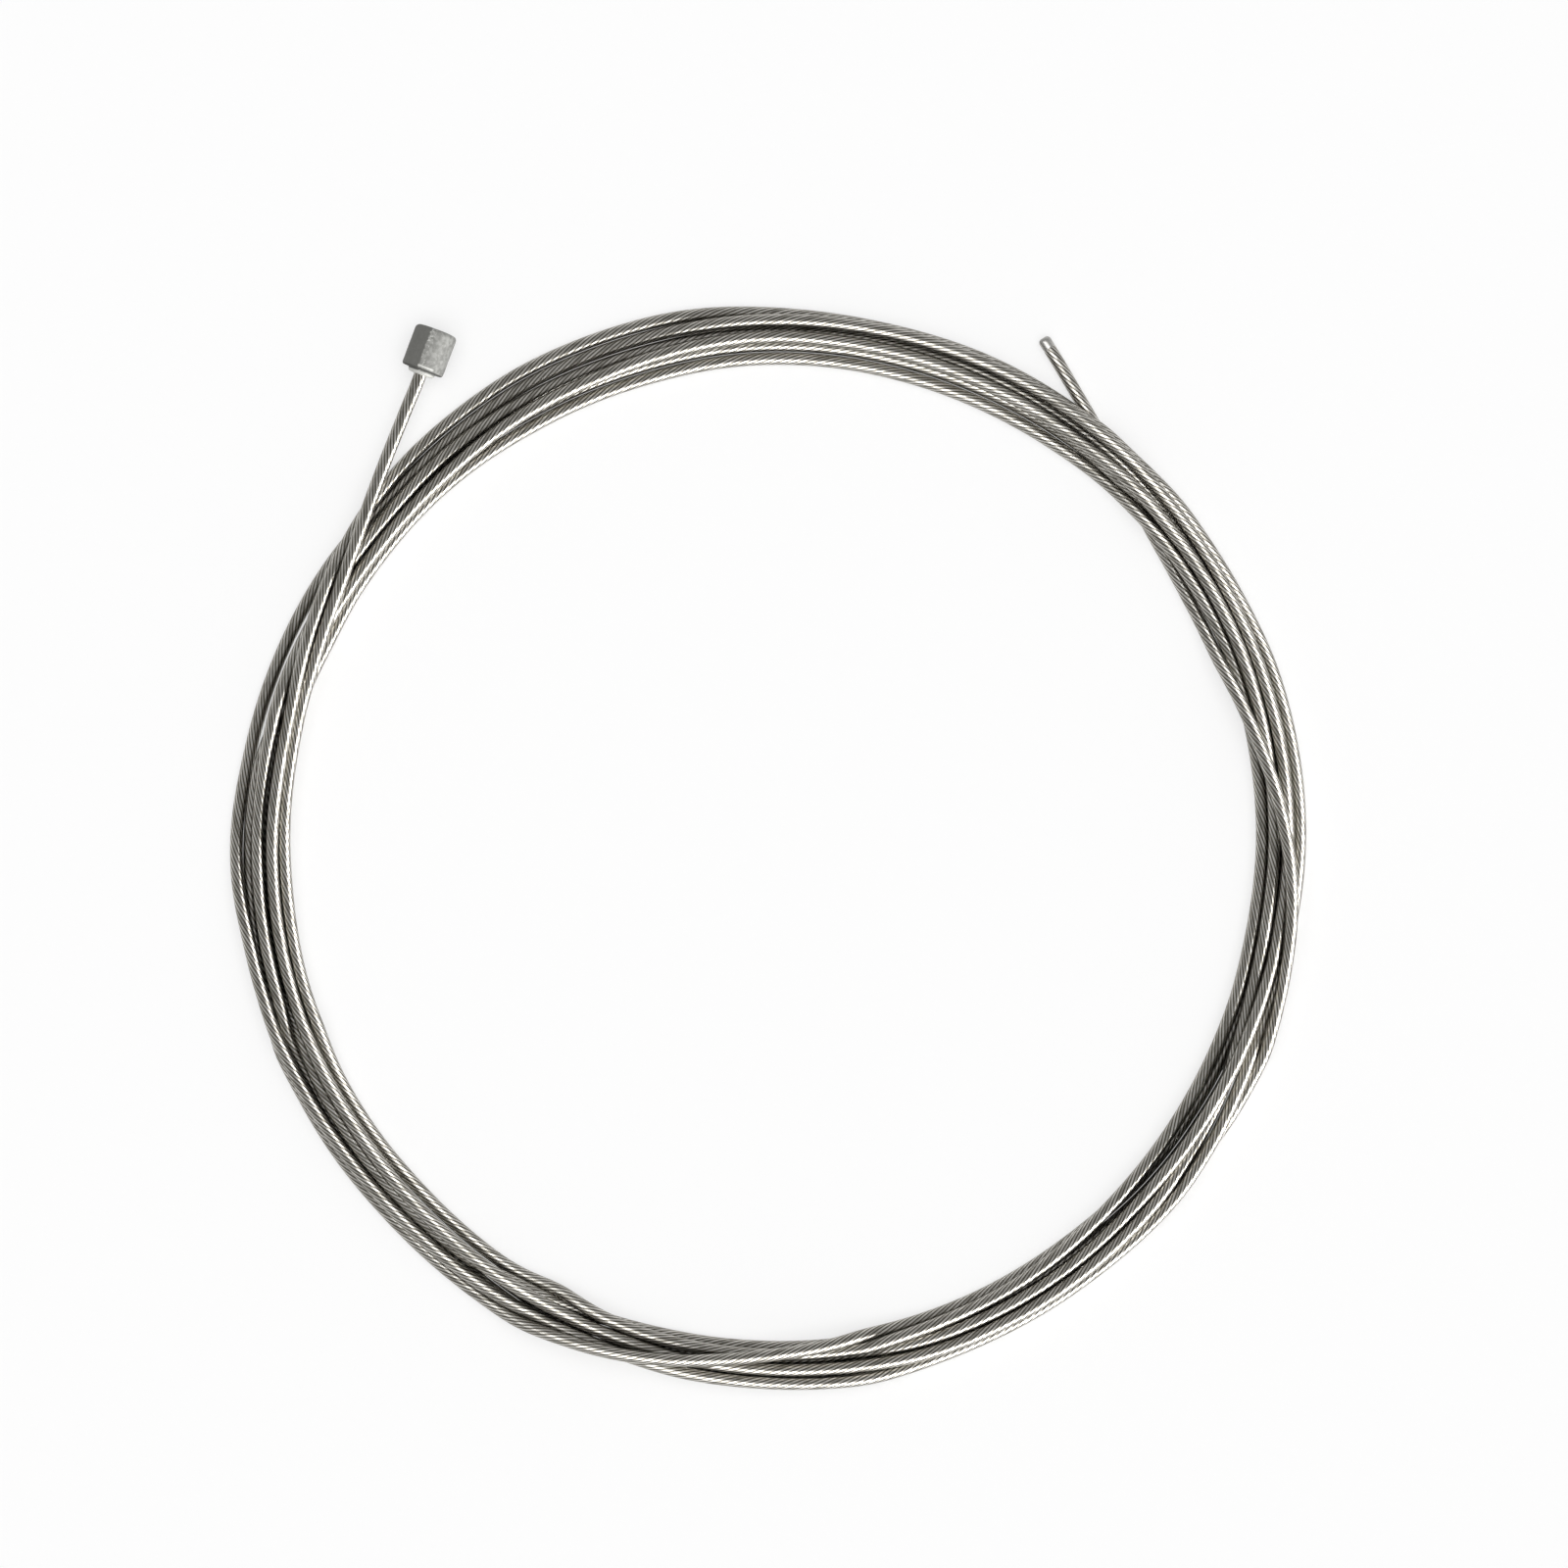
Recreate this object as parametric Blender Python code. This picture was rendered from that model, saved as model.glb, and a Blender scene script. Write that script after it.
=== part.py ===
"""Inner shift cable for a bicycle, wound into a loose round coil as it is sold.

A steel strand leaves a small die-cast barrel head, runs over the coil, makes its
turns and comes out on the other side as a short free end with a fused tip.
Metres, +Z up. The origin is the middle of the coil, on the surface it lies on.
"""
import math

import bmesh
import bpy
from mathutils import Matrix, Vector

# Strand
WIRE_DIAMETER = 0.0012
WIRE_RADIUS = WIRE_DIAMETER / 2

# Barrel head, lying on its side beside the coil
HEAD_DIAMETER = 0.0040
HEAD_LENGTH = 0.0040
HEAD_SEAT_CHAMFER = 0.00030
HEAD_END_ROUND = 0.00035
COLLAR_BASE_RADIUS = 0.00130
COLLAR_TOP_RADIUS = 0.00115
COLLAR_HEIGHT = 0.00040
SOCKET_DEPTH = 0.00110
SOCKET_LEAD_IN = 0.00012
PARTING_WIDTH = 0.00018
PARTING_HEIGHT = 0.00002
PARTING_TURN = math.radians(12.0)
ROUND_SEGMENTS = 48
HEAD_SHARP_DEGREES = 40

# Where the head lies: degrees round the coil and distance beyond its outer side of
# the middle of the seat face, and the way the wire leaves it
HEAD_SEAT_DEGREES = 125.9
HEAD_SEAT_CLEAR = 0.0050
HEAD_HEADING = math.radians(249.3)

# Coil: turns side by side, with a second layer in the hollows between them
COIL_RADIUS = 0.0474
TURNS_BELOW = 4
TURNS_ABOVE = TURNS_BELOW - 1
COIL_SEGMENTS = 90
COIL_SHARP_DEGREES = 50
ROUND_STEPS = 4

# Touching solids keep this distance from each other
SEAT_GAP = 0.0003

# Points of a turned shape nearer than this are one point
MERGE_DISTANCE = 0.000001

# Free stretch from the head to the coil: (degrees round the coil, distance beyond
# its outer side, height), picked where the wire runs
HEAD_LEAD = (
    (129.0, 0.00315, 0.00205),
    (131.5, 0.00200, 0.00205),
    (134.0, 0.00095, 0.00205),
    (135.9, 0.00025, 0.00205),
)

# Free end that comes out from under the coil
TIP_LEAD = (
    (55.1, 0.00085, WIRE_RADIUS),
    (57.2, 0.00180, WIRE_RADIUS),
    (59.4, 0.00285, WIRE_RADIUS),
    (62.0, 0.00425, WIRE_RADIUS),
)
LEAD_POINT_SPACING = 2.4 * WIRE_DIAMETER
LEAD_BEVEL_RESOLUTION = 2
STEPS_BETWEEN_PLACES = 24
TIP_ROUND = 0.0004
TIP_END_SHARE = 0.55


def clear_scene():
    for old in list(bpy.data.objects):
        bpy.data.objects.remove(old, do_unlink=True)


def metal(name, colour, roughness, metallic):
    material = bpy.data.materials.new(name)
    material.use_nodes = True
    shader = material.node_tree.nodes["Principled BSDF"]
    shader.inputs["Base Color"].default_value = (*colour, 1.0)
    shader.inputs["Roughness"].default_value = roughness
    shader.inputs["Metallic"].default_value = metallic
    return material


def outer_turn():
    """Distance from the coil's middle to its outermost turn."""
    return COIL_RADIUS + (TURNS_BELOW - 1) * WIRE_DIAMETER / 2


def beside_coil(degrees, clear, height):
    """A place given as an angle round the coil, a distance beyond its outer side and a height."""
    angle = math.radians(degrees)
    distance = outer_turn() + WIRE_RADIUS + clear
    return Vector((distance * math.cos(angle), distance * math.sin(angle), height))


def arc(centre, radius, start, end, steps):
    """Points of an arc in a profile, from one angle to another in degrees."""
    points = []
    for step in range(steps + 1):
        angle = math.radians(start + (end - start) * step / steps)
        points.append((centre[0] + radius * math.cos(angle), centre[1] + radius * math.sin(angle)))
    return points


def revolve(name, profile, segments, closed):
    """Turns a profile of (distance, height) points about Z into one closed solid."""
    shape = bmesh.new()
    rim = [shape.verts.new((distance, 0.0, height)) for distance, height in profile]
    edges = [shape.edges.new(pair) for pair in zip(rim, rim[1:])]
    if closed:
        edges.append(shape.edges.new((rim[-1], rim[0])))
    bmesh.ops.spin(
        shape,
        geom=rim + edges,
        axis=(0.0, 0.0, 1.0),
        cent=(0.0, 0.0, 0.0),
        angle=2 * math.pi,
        steps=segments,
        use_duplicate=False,
    )
    bmesh.ops.remove_doubles(shape, verts=shape.verts, dist=MERGE_DISTANCE)
    bmesh.ops.recalc_face_normals(shape, faces=shape.faces)
    mesh = bpy.data.meshes.new(name)
    shape.to_mesh(mesh)
    shape.free()
    piece = bpy.data.objects.new(name, mesh)
    bpy.context.collection.objects.link(piece)
    return piece


def smooth_round(piece, sharp_degrees):
    piece.data.shade_smooth()
    piece.data.set_sharp_from_angle(angle=math.radians(sharp_degrees))


def head_seat():
    """The middle of the head's seat face, and the way the wire leaves it."""
    seat = beside_coil(HEAD_SEAT_DEGREES, HEAD_SEAT_CLEAR, HEAD_DIAMETER / 2)
    heading = Vector((math.cos(HEAD_HEADING), math.sin(HEAD_HEADING), 0.0))
    return seat, heading


def head_frame():
    """The head's own frame: Z along the wire's way out, Y up, the seat face at the origin."""
    seat, heading = head_seat()
    up = Vector((0.0, 0.0, 1.0))
    turn = Matrix((up.cross(heading), up, heading)).transposed()
    return Matrix.Translation(seat) @ turn.to_4x4()


def head_profile():
    """Half section of the barrel, from the socket's floor over the collar to the middle of the far end."""
    radius = HEAD_DIAMETER / 2
    socket = WIRE_RADIUS + SEAT_GAP
    profile = [(0.0, -SOCKET_DEPTH), (socket, -SOCKET_DEPTH), (socket, COLLAR_HEIGHT - SOCKET_LEAD_IN)]
    profile.append((socket + SOCKET_LEAD_IN, COLLAR_HEIGHT))
    profile.append((COLLAR_TOP_RADIUS, COLLAR_HEIGHT))
    profile.append((COLLAR_BASE_RADIUS, 0.0))
    profile.append((radius - HEAD_SEAT_CHAMFER, 0.0))
    profile.append((radius, -HEAD_SEAT_CHAMFER))
    end_centre = (radius - HEAD_END_ROUND, HEAD_END_ROUND - HEAD_LENGTH)
    profile += arc(end_centre, HEAD_END_ROUND, 0.0, -90.0, ROUND_STEPS)
    profile.append((0.0, -HEAD_LENGTH))
    return profile


def parting_line():
    """A thin plate through the barrel's axis, whose edges stand proud as the casting's flash."""
    length = HEAD_LENGTH - HEAD_SEAT_CHAMFER - HEAD_END_ROUND
    middle = -HEAD_SEAT_CHAMFER - length / 2
    bpy.ops.mesh.primitive_cube_add(size=1.0)
    plate = bpy.context.object
    plate.name = "parting_line_guide"
    size = Matrix.Diagonal((PARTING_WIDTH, HEAD_DIAMETER + 2 * PARTING_HEIGHT, length, 1.0))
    plate.data.transform(Matrix.Translation((0.0, 0.0, middle)) @ size)
    plate.data.transform(Matrix.Rotation(PARTING_TURN, 4, "Z"))
    hollow = revolve("parting_hollow_guide", [
        (0.0, -HEAD_LENGTH),
        (COLLAR_BASE_RADIUS, -HEAD_LENGTH),
        (COLLAR_BASE_RADIUS, 0.0),
        (0.0, 0.0),
    ], ROUND_SEGMENTS, closed=False)
    for guide in (plate, hollow):
        guide.hide_render = True
        guide.display_type = "WIRE"
    cut = plate.modifiers.new("clear_the_socket", "BOOLEAN")
    cut.operation = "DIFFERENCE"
    cut.solver = "EXACT"
    cut.object = hollow
    return plate, hollow


def cable_head():
    """Die-cast barrel with a collar round the wire's socket and a parting line along both sides."""
    head = revolve("cable_head", head_profile(), ROUND_SEGMENTS, closed=False)
    plate, hollow = parting_line()
    for piece in (head, plate, hollow):
        piece.matrix_world = head_frame()
    join = head.modifiers.new("parting_line", "BOOLEAN")
    join.operation = "UNION"
    join.solver = "EXACT"
    join.object = plate
    smooth_round(head, HEAD_SHARP_DEGREES)
    head.data.materials.append(metal("cast_zinc", (0.42, 0.42, 0.40), 0.42, 1.0))


def coil_profile():
    """Section of the packed turns: flat where they rest, round at the sides, a hump for each turn above."""
    outer = outer_turn()
    inner = 2 * COIL_RADIUS - outer
    layer = WIRE_RADIUS + WIRE_DIAMETER * math.sin(math.radians(60))
    profile = arc((inner, WIRE_RADIUS), WIRE_RADIUS, 270.0, 120.0, ROUND_STEPS)
    for turn in range(TURNS_ABOVE):
        centre = (COIL_RADIUS + (turn - (TURNS_ABOVE - 1) / 2) * WIRE_DIAMETER, layer)
        profile += arc(centre, WIRE_RADIUS, 150.0, 30.0, ROUND_STEPS)
    profile += arc((outer, WIRE_RADIUS), WIRE_RADIUS, 60.0, -90.0, ROUND_STEPS)
    return profile


def cable_coil():
    """The wound turns as one ring, as wide and as high as the turns lie."""
    coil = revolve("cable_coil", coil_profile(), COIL_SEGMENTS, closed=True)
    smooth_round(coil, COIL_SHARP_DEGREES)
    coil.data.materials.append(metal("coil_steel", (0.50, 0.50, 0.48), 0.30, 1.0))


def smooth_route(places, spacing):
    """Evenly spaced points along one smooth curve through the places."""
    ends = [2 * places[0] - places[1]] + places + [2 * places[-1] - places[-2]]
    fine = []
    for a, b, c, d in zip(ends, ends[1:], ends[2:], ends[3:]):
        for step in range(STEPS_BETWEEN_PLACES):
            t = step / STEPS_BETWEEN_PLACES
            fine.append(0.5 * (2 * b + (c - a) * t + (2 * a - 5 * b + 4 * c - d) * t ** 2
                               + (3 * b - a - 3 * c + d) * t ** 3))
    fine.append(places[-1])
    reach = [0.0]
    for one, other in zip(fine, fine[1:]):
        reach.append(reach[-1] + (other - one).length)
    count = max(2, round(reach[-1] / spacing))
    route = []
    for number in range(count + 1):
        target = reach[-1] * number / count
        slot = max(i for i, far in enumerate(reach) if far <= target + 1e-12)
        slot = min(slot, len(fine) - 2)
        share = (target - reach[slot]) / (reach[slot + 1] - reach[slot])
        route.append(fine[slot].lerp(fine[slot + 1], share))
    return route


def wire_tube(name, route, taper, colour):
    """A round tube along a route; each share in taper narrows the point it stands for."""
    curve = bpy.data.curves.new(name, "CURVE")
    curve.dimensions = "3D"
    curve.bevel_depth = WIRE_RADIUS
    curve.bevel_resolution = LEAD_BEVEL_RESOLUTION
    curve.use_fill_caps = True
    spline = curve.splines.new("POLY")
    spline.points.add(len(route) - 1)
    for point, place, share in zip(spline.points, route, taper):
        point.co = (*place, 1.0)
        point.radius = share
    tube = bpy.data.objects.new(name, curve)
    bpy.context.collection.objects.link(tube)
    curve.materials.append(metal(name + "_steel", colour, 0.30, 1.0))


def cable_head_lead():
    """The wire from inside the head's socket to the coil's outer side."""
    seat, heading = head_seat()
    start = seat - heading * (SOCKET_DEPTH - SEAT_GAP)
    straight = seat + heading * WIRE_DIAMETER
    places = [start, straight] + [beside_coil(*place) for place in HEAD_LEAD]
    route = smooth_route(places, LEAD_POINT_SPACING)
    wire_tube("cable_head_lead", route, [1.0] * len(route), (0.46, 0.46, 0.44))


def cable_tip_lead():
    """The free end of the wire, its strands fused into a rounded tip."""
    route = smooth_route([beside_coil(*place) for place in TIP_LEAD], LEAD_POINT_SPACING)
    way_out = (route[-1] - route[-2]).normalized()
    shoulder = route[-1] - way_out * TIP_ROUND
    route = route[:-1] + [shoulder, route[-1]]
    taper = [1.0] * (len(route) - 1) + [TIP_END_SHARE]
    wire_tube("cable_tip_lead", route, taper, (0.44, 0.44, 0.42))


clear_scene()
cable_head()
cable_coil()
cable_head_lead()
cable_tip_lead()
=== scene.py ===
"""A bicycle's inner shift cable in a loose coil: the wire, its cast head, their finishes and the light.

Metres, +Z up, in the part's own frame: the coil's middle is the origin and the floor is at zero.
"""
import math

import bmesh
import bpy
import numpy as np
from mathutils import Matrix, Vector


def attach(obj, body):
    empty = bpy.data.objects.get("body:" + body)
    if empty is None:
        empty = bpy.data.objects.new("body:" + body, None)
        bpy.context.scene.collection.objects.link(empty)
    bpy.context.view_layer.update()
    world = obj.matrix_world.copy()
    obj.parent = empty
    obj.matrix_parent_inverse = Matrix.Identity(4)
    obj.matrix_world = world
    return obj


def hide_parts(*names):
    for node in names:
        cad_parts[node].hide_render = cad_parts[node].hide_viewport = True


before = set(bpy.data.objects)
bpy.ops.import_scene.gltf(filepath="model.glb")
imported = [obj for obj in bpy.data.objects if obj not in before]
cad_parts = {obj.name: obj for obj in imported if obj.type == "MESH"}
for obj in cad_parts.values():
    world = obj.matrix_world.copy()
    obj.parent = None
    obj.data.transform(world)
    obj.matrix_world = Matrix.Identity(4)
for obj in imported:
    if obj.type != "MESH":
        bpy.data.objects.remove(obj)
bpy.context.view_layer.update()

MM = 0.001

# Photograph: its side, its scale at the height of the upper turns and the coil's middle in it,
# and the camera that takes the same view
PHOTO_SIDE = 1600
PIXELS_PER_MM = 11.0
PHOTO_COIL_MIDDLE = (784.0, 866.5)
UPPER_TURNS_HEIGHT = 2.0 * MM
CAMERA_DISTANCE = 0.75
CAMERA_NEAR = 0.01
CAMERA_FAR = 20.0
SENSOR_WIDTH = 36.0

# Wire: a strand drawn smooth, whose outer layer has twelve wires laid to the left
WIRE_DIAMETER = 1.2 * MM
WIRE_RADIUS = WIRE_DIAMETER / 2
OUTER_WIRES = 12
LAY_LENGTH = 9.4 * MM
STRAND_RADIUS = 0.598 * MM
STRAND_SIDES = 24
RINGS = 2740
WIRE_SHARP_DEGREES = 52.0

# Cast barrel head: its size, where its seat lies round the coil, the way the wire leaves it,
# the turn of its parting line, and its rounded rims
HEAD_RADIUS = 2.0 * MM
HEAD_LENGTH = 4.0 * MM
HEAD_SEAT_DEGREES = 125.9
HEAD_SEAT_CLEAR = 5.0 * MM
HEAD_HEADING = math.radians(249.3)
PARTING_TURN = math.radians(12.0)
HEAD_SIDES = 96
SEAT_ROUND = 0.24 * MM
SEAT_ROUND_STEPS = 3
FAR_ROUND = 0.42 * MM
FAR_ROUND_STEPS = 5
HEAD_SHARP_DEGREES = 34.0
HEIGHT_TOLERANCE = 0.001 * MM
MOST_SIDE_CORNERS = 8

# Collar round the wire: how much wider and how much higher each step of it gets
COLLAR_BASE_RADIUS = 1.30 * MM
COLLAR_STEPS = (
    (-0.06 * MM, 0.24 * MM),
    (-0.08 * MM, 0.12 * MM),
    (-0.20 * MM, 0.04 * MM),
    (-0.22 * MM, 0.02 * MM),
)

# Domed far end: how far inward and how far outward each step of it goes
DOME_STEPS = ((0.35 * MM, 0.035 * MM), (0.45 * MM, 0.025 * MM), (0.45 * MM, 0.010 * MM))

# Flash where the mould's halves met, on faces that look sideways
FLASH_HEIGHT = 0.022 * MM
FLASH_HALF_WIDTH = math.radians(1.9)
SIDEWAYS_LIMIT = 0.1

# Lumps of the cast skin: name, size and depth, on a barrel cut into rings
RING_CUTS = 26
LONG_EDGE = 2.0 * MM
LUMPS = (("coarse", 0.9 * MM, 0.035 * MM), ("fine", 0.28 * MM, 0.016 * MM))
LUMP_DETAIL = 2

# The wire's way from the head to the coil and its free end: degrees round the coil, and
# metres beyond the coil's outer side
COIL_OUTER = 49.8 * MM
HEAD_LEAD = ((129.0, 0.00315), (131.5, 0.00200), (134.0, 0.00095), (135.9, 0.00025))
TIP_LEAD = ((55.1, 0.00085), (57.2, 0.00180), (59.4, 0.00285), (62.0, 0.00425))

# Each turn as it lies: degrees round the coil, millimetres from its middle, and its rank in the pile,
# where a higher one lies on a lower one
TURNS = (
    ((140, 48.5, 9), (145, 47.2, 9), (150, 46.3, 9),
     (155, 45.8, 9), (160, 45.5, 9), (165, 45.2, 8), (172, 45.1, 6), (180, 45.1, 4), (190, 45.2, 2),
     (200, 45.4, 1.5), (212, 45.5, 1.5), (225, 45.8, 1.5), (240, 46.0, 1.5), (250, 46.3, 1.5),
     (258, 46.5, 1.5), (265, 46.7, 2.5), (272, 47.0, 5), (280, 47.0, 7), (290, 46.8, 7),
     (300, 46.5, 7), (308, 46.1, 7), (315, 45.8, 7), (325, 45.6, 6), (335, 45.5, 4), (345, 45.6, 4),
     (355, 45.7, 4)),
    ((0, 46.0, 4), (10, 46.2, 4), (20, 46.5, 4), (30, 46.6, 4), (40, 46.5, 4), (50, 46.3, 4),
     (60, 46.1, 3.5), (75, 46.0, 3), (85, 45.9, 2), (92, 45.7, 1), (100, 45.5, 1), (110, 45.3, 1),
     (120, 45.2, 1), (135, 45.3, 1), (150, 45.4, 1), (165, 45.7, 1), (180, 46.2, 1), (200, 46.5, 1),
     (225, 47.0, 1), (240, 47.2, 1), (260, 47.5, 1.5), (270, 47.7, 3), (280, 47.8, 4.5),
     (290, 47.9, 6), (300, 47.9, 6), (315, 47.5, 6), (330, 47.5, 6), (340, 47.7, 6), (350, 47.9, 6)),
    ((0, 48.2, 6), (10, 48.4, 6), (20, 48.6, 6), (30, 48.8, 6), (40, 49.1, 6), (50, 49.3, 6),
     (60, 49.4, 6), (75, 49.3, 6), (85, 49.2, 5.5), (92, 49.1, 5), (100, 49.0, 4), (110, 48.7, 3),
     (120, 48.5, 3), (135, 48.5, 3), (150, 48.6, 3), (165, 48.9, 3), (180, 49.0, 3), (200, 48.8, 5),
     (212, 48.5, 6), (225, 48.2, 6), (240, 48.5, 6), (250, 48.6, 5), (256, 48.7, 4), (262, 49.0, 3),
     (268, 49.2, 2), (275, 49.4, 1.5), (285, 49.5, 1.5), (300, 49.4, 1.5), (315, 49.3, 1.5),
     (325, 49.2, 3), (332, 49.0, 5), (340, 48.8, 5), (350, 48.8, 4)),
    ((0, 49.0, 1), (10, 49.1, 1), (20, 49.2, 1), (30, 49.2, 1), (45, 49.3, 1), (60, 49.4, 1),
     (80, 49.4, 1), (90, 49.5, 2), (100, 49.6, 3), (110, 49.7, 3), (120, 49.7, 3.2), (130, 49.4, 6),
     (135, 49.1, 8), (139, 48.8, 8), (145, 48.2, 8), (150, 47.6, 8), (155, 46.9, 8), (160, 46.4, 8),
     (165, 46.0, 8.5), (170, 45.9, 8), (180, 46.0, 7), (190, 46.1, 7), (205, 46.2, 7), (215, 46.2, 7),
     (225, 46.4, 7), (235, 46.7, 7), (245, 47.0, 7), (252, 47.5, 7), (260, 48.0, 7), (270, 48.3, 7),
     (278, 48.6, 7), (287, 49.0, 7), (295, 49.1, 7), (302, 49.1, 7), (315, 48.7, 7), (322, 48.4, 6.5),
     (330, 48.0, 4), (337, 47.3, 2), (344, 46.7, 3), (350, 46.7, 4)),
    ((0, 46.9, 5), (9, 47.1, 5), (20, 47.4, 5), (30, 47.6, 5), (45, 47.7, 5), (60, 47.6, 5),
     (75, 47.6, 5), (85, 47.6, 5.5), (90, 47.6, 6), (95, 47.4, 6), (100, 47.1, 6), (105, 46.8, 6),
     (110, 46.5, 6), (120, 46.3, 5), (130, 45.9, 5), (140, 45.8, 5), (150, 46.0, 4), (160, 46.6, 2),
     (170, 47.4, 1), (180, 48.0, 1), (190, 48.4, 1), (200, 48.4, 1), (212, 48.3, 1), (222, 48.2, 1),
     (232, 48.9, 1.5), (240, 49.4, 2), (245, 49.3, 5), (250, 49.1, 9), (255, 48.7, 9), (260, 48.1, 9),
     (264, 47.6, 9), (268, 47.1, 9), (272, 46.7, 9), (277, 46.4, 9), (283, 46.0, 8), (288, 46.0, 6),
     (295, 46.0, 3), (305, 46.1, 0.6), (315, 46.2, 0.5), (330, 46.3, 0.5), (345, 46.4, 0.5)),
    ((0, 46.5, 0.6), (15, 46.9, 0.6), (30, 47.1, 0.6), (45, 47.2, 0.6), (60, 47.1, 0.7),
     (75, 46.9, 0.8), (90, 46.7, 0.8), (105, 46.5, 0.8), (120, 46.4, 0.8), (135, 46.5, 0.8),
     (150, 46.6, 0.8), (165, 46.8, 0.8), (180, 47.0, 0.9), (200, 47.1, 1.2), (225, 47.0, 2),
     (245, 47.0, 2), (265, 47.0, 1.6), (285, 47.1, 1), (300, 47.1, 1), (315, 47.2, 1), (330, 47.5, 1),
     (345, 47.9, 1)),
    ((0, 48.2, 1), (15, 48.3, 1.5), (30, 48.3, 1.6), (45, 48.4, 2), (55, 48.5, 4), (60, 48.5, 4),
     (67, 48.5, 4), (75, 48.3, 4), (85, 48.1, 4), (93, 47.9, 3), (100, 47.7, 2), (110, 47.5, 1.5),
     (120, 47.4, 1.5), (130, 47.1, 2.5), (138, 46.9, 4), (145, 46.9, 4), (155, 47.2, 4),
     (160, 47.4, 4), (170, 47.4, 4), (180, 47.4, 4), (195, 47.5, 4), (210, 47.5, 3.5), (222, 47.6, 3),
     (240, 47.7, 2), (260, 47.9, 1), (280, 48.1, 0.8), (300, 48.3, 0.7), (310, 48.6, 0.7),
     (317, 48.9, 0.7), (324, 49.3, 1), (330, 49.6, 2.5), (338, 49.7, 6), (345, 49.4, 8),
     (350, 49.1, 8), (355, 48.7, 8)),
    ((0, 48.2, 8), (5, 47.5, 8), (8.5, 47.1, 8), (12, 46.5, 8), (15, 46.1, 7), (20, 45.6, 5),
     (25, 45.3, 3), (30, 45.2, 1), (35, 45.5, 0.3), (40, 46.2, 0.2), (45, 47.4, 0.2), (50, 48.8, 0.2),
     (53, 49.8, 0.2)),
)
HEAD_LEAD_RANK = 9.0
TIP_LEAD_RANK = 0.2
SEEN_RANK = 3.9
FREE_END_DEGREES = 12.0
DEGREE_STEP = 1.0

# The wire inside the head, its straight start beyond the seat, and the fineness of its curve
INSIDE_HEAD = (0.9 * MM, 0.45 * MM)
STRAIGHT_START = (0.0, 0.9 * MM, 1.8 * MM)
ROUTE_SMOOTHING = 0.8
CURVE_STEP = 0.125

# Settling of the turns on each other: its rounds, how far they sink in each, how stiff the wire is
# at first and at last, how firmly seen and hidden turns keep their places, and the smoothing
SETTLE_ROUNDS = 1200
SETTLE_PUSHES = 4
SETTLE_SINK = 0.000006
SETTLE_STIFF_FIRST = 6.0
SETTLE_STIFF_LAST = 1.3
SETTLE_STIFF_SHARE = 0.3
SETTLE_CLEAR = 0.03 * MM
SETTLE_START_STEP = 0.62 * MM
HOLD_SEEN = 0.25
HOLD_HIDDEN = 0.02
PLACE_SMOOTHING = 2.0
START_SMOOTHING = 3.0
END_SMOOTHING = 1.0
HELD_AT_HEAD = 4
HELD_AT_TIP = 8
NEVER_ZERO = 1e-12

# Floor and light: a low lamp, nearly as wide as high, that only the metal mirrors, a wide softbox
# above for everything matt, and the even room
FLOOR_RADIUS = 2.6
FLOOR_SIDES = 128
COVE_RADIUS = 0.8
COVE_STEPS = 10
COVE_SHARP_DEGREES = 30.0
FLOOR_WHITE_SHARE = 0.6
ROOM_LEVEL = 0.50
LOW_LAMP_AZIMUTH = 325.0
LOW_LAMP_ELEVATION = 17.0
LOW_LAMP_DISTANCE = 1.0
LOW_LAMP_WIDTH = 0.50
LOW_LAMP_HEIGHT = 0.54
LOW_LAMP_POWER = 33.0
SOFTBOX_ELEVATION = 90.0
SOFTBOX_HEIGHT = 1.3
SOFTBOX_SIDE = 1.6
SOFTBOX_POWER = 13.3

# Fused end of the wire: a neck that swells into a bead, whose very end keeps a share of its radius
BEAD_LENGTH = 1.25 * MM
BEAD_RADIUS = 0.60 * MM
BEAD_NECK_RADIUS = 0.545 * MM
BEAD_RING_STEP = 0.08 * MM
BEAD_SWELL = 4.0
BEAD_NOSE = 0.45 * MM
BEAD_TIP_SHARE = 0.25

# Drawn steel: colours, the groove's soft edges from 0 on a wire's crest to 1 between two wires,
# the scales of its grain, patches and melted end, and how much each of them changes its tone.
# The grooves are smoother than the wires, which keeps the bright bands unbroken across them.
STEEL_DULL = (0.42, 0.405, 0.365, 1.0)
STEEL_BRIGHT = (0.95, 0.93, 0.88, 1.0)
# The groove colour is painted shade between the outer wires
STEEL_GROOVE_SHADE = (0.125, 0.112, 0.087, 1.0)
BEAD_DULL = (0.45, 0.44, 0.42, 1.0)
BEAD_BRIGHT = (0.85, 0.84, 0.81, 1.0)
GROOVE_EDGES = (0.38, 0.76)
GRAIN_PER_WIRE = 1.5
GRAIN_PER_LAY = 7.5
GRAIN_SCALE = 1.6
GRAIN_ROUGHNESS = 0.6
PATCH_SCALE = 260.0
MELT_SCALE = 2600.0
TONE_MIDDLE = 0.66
TONE_BY_WIRE = 0.6
TONE_BY_GRAIN = 1.4
TONE_BY_PATCH = 0.4
STEEL_ROUGHNESS = 0.63
ROUGHER_BY_GRAIN = 0.06
SMOOTHER_IN_GROOVE = 0.23
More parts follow.
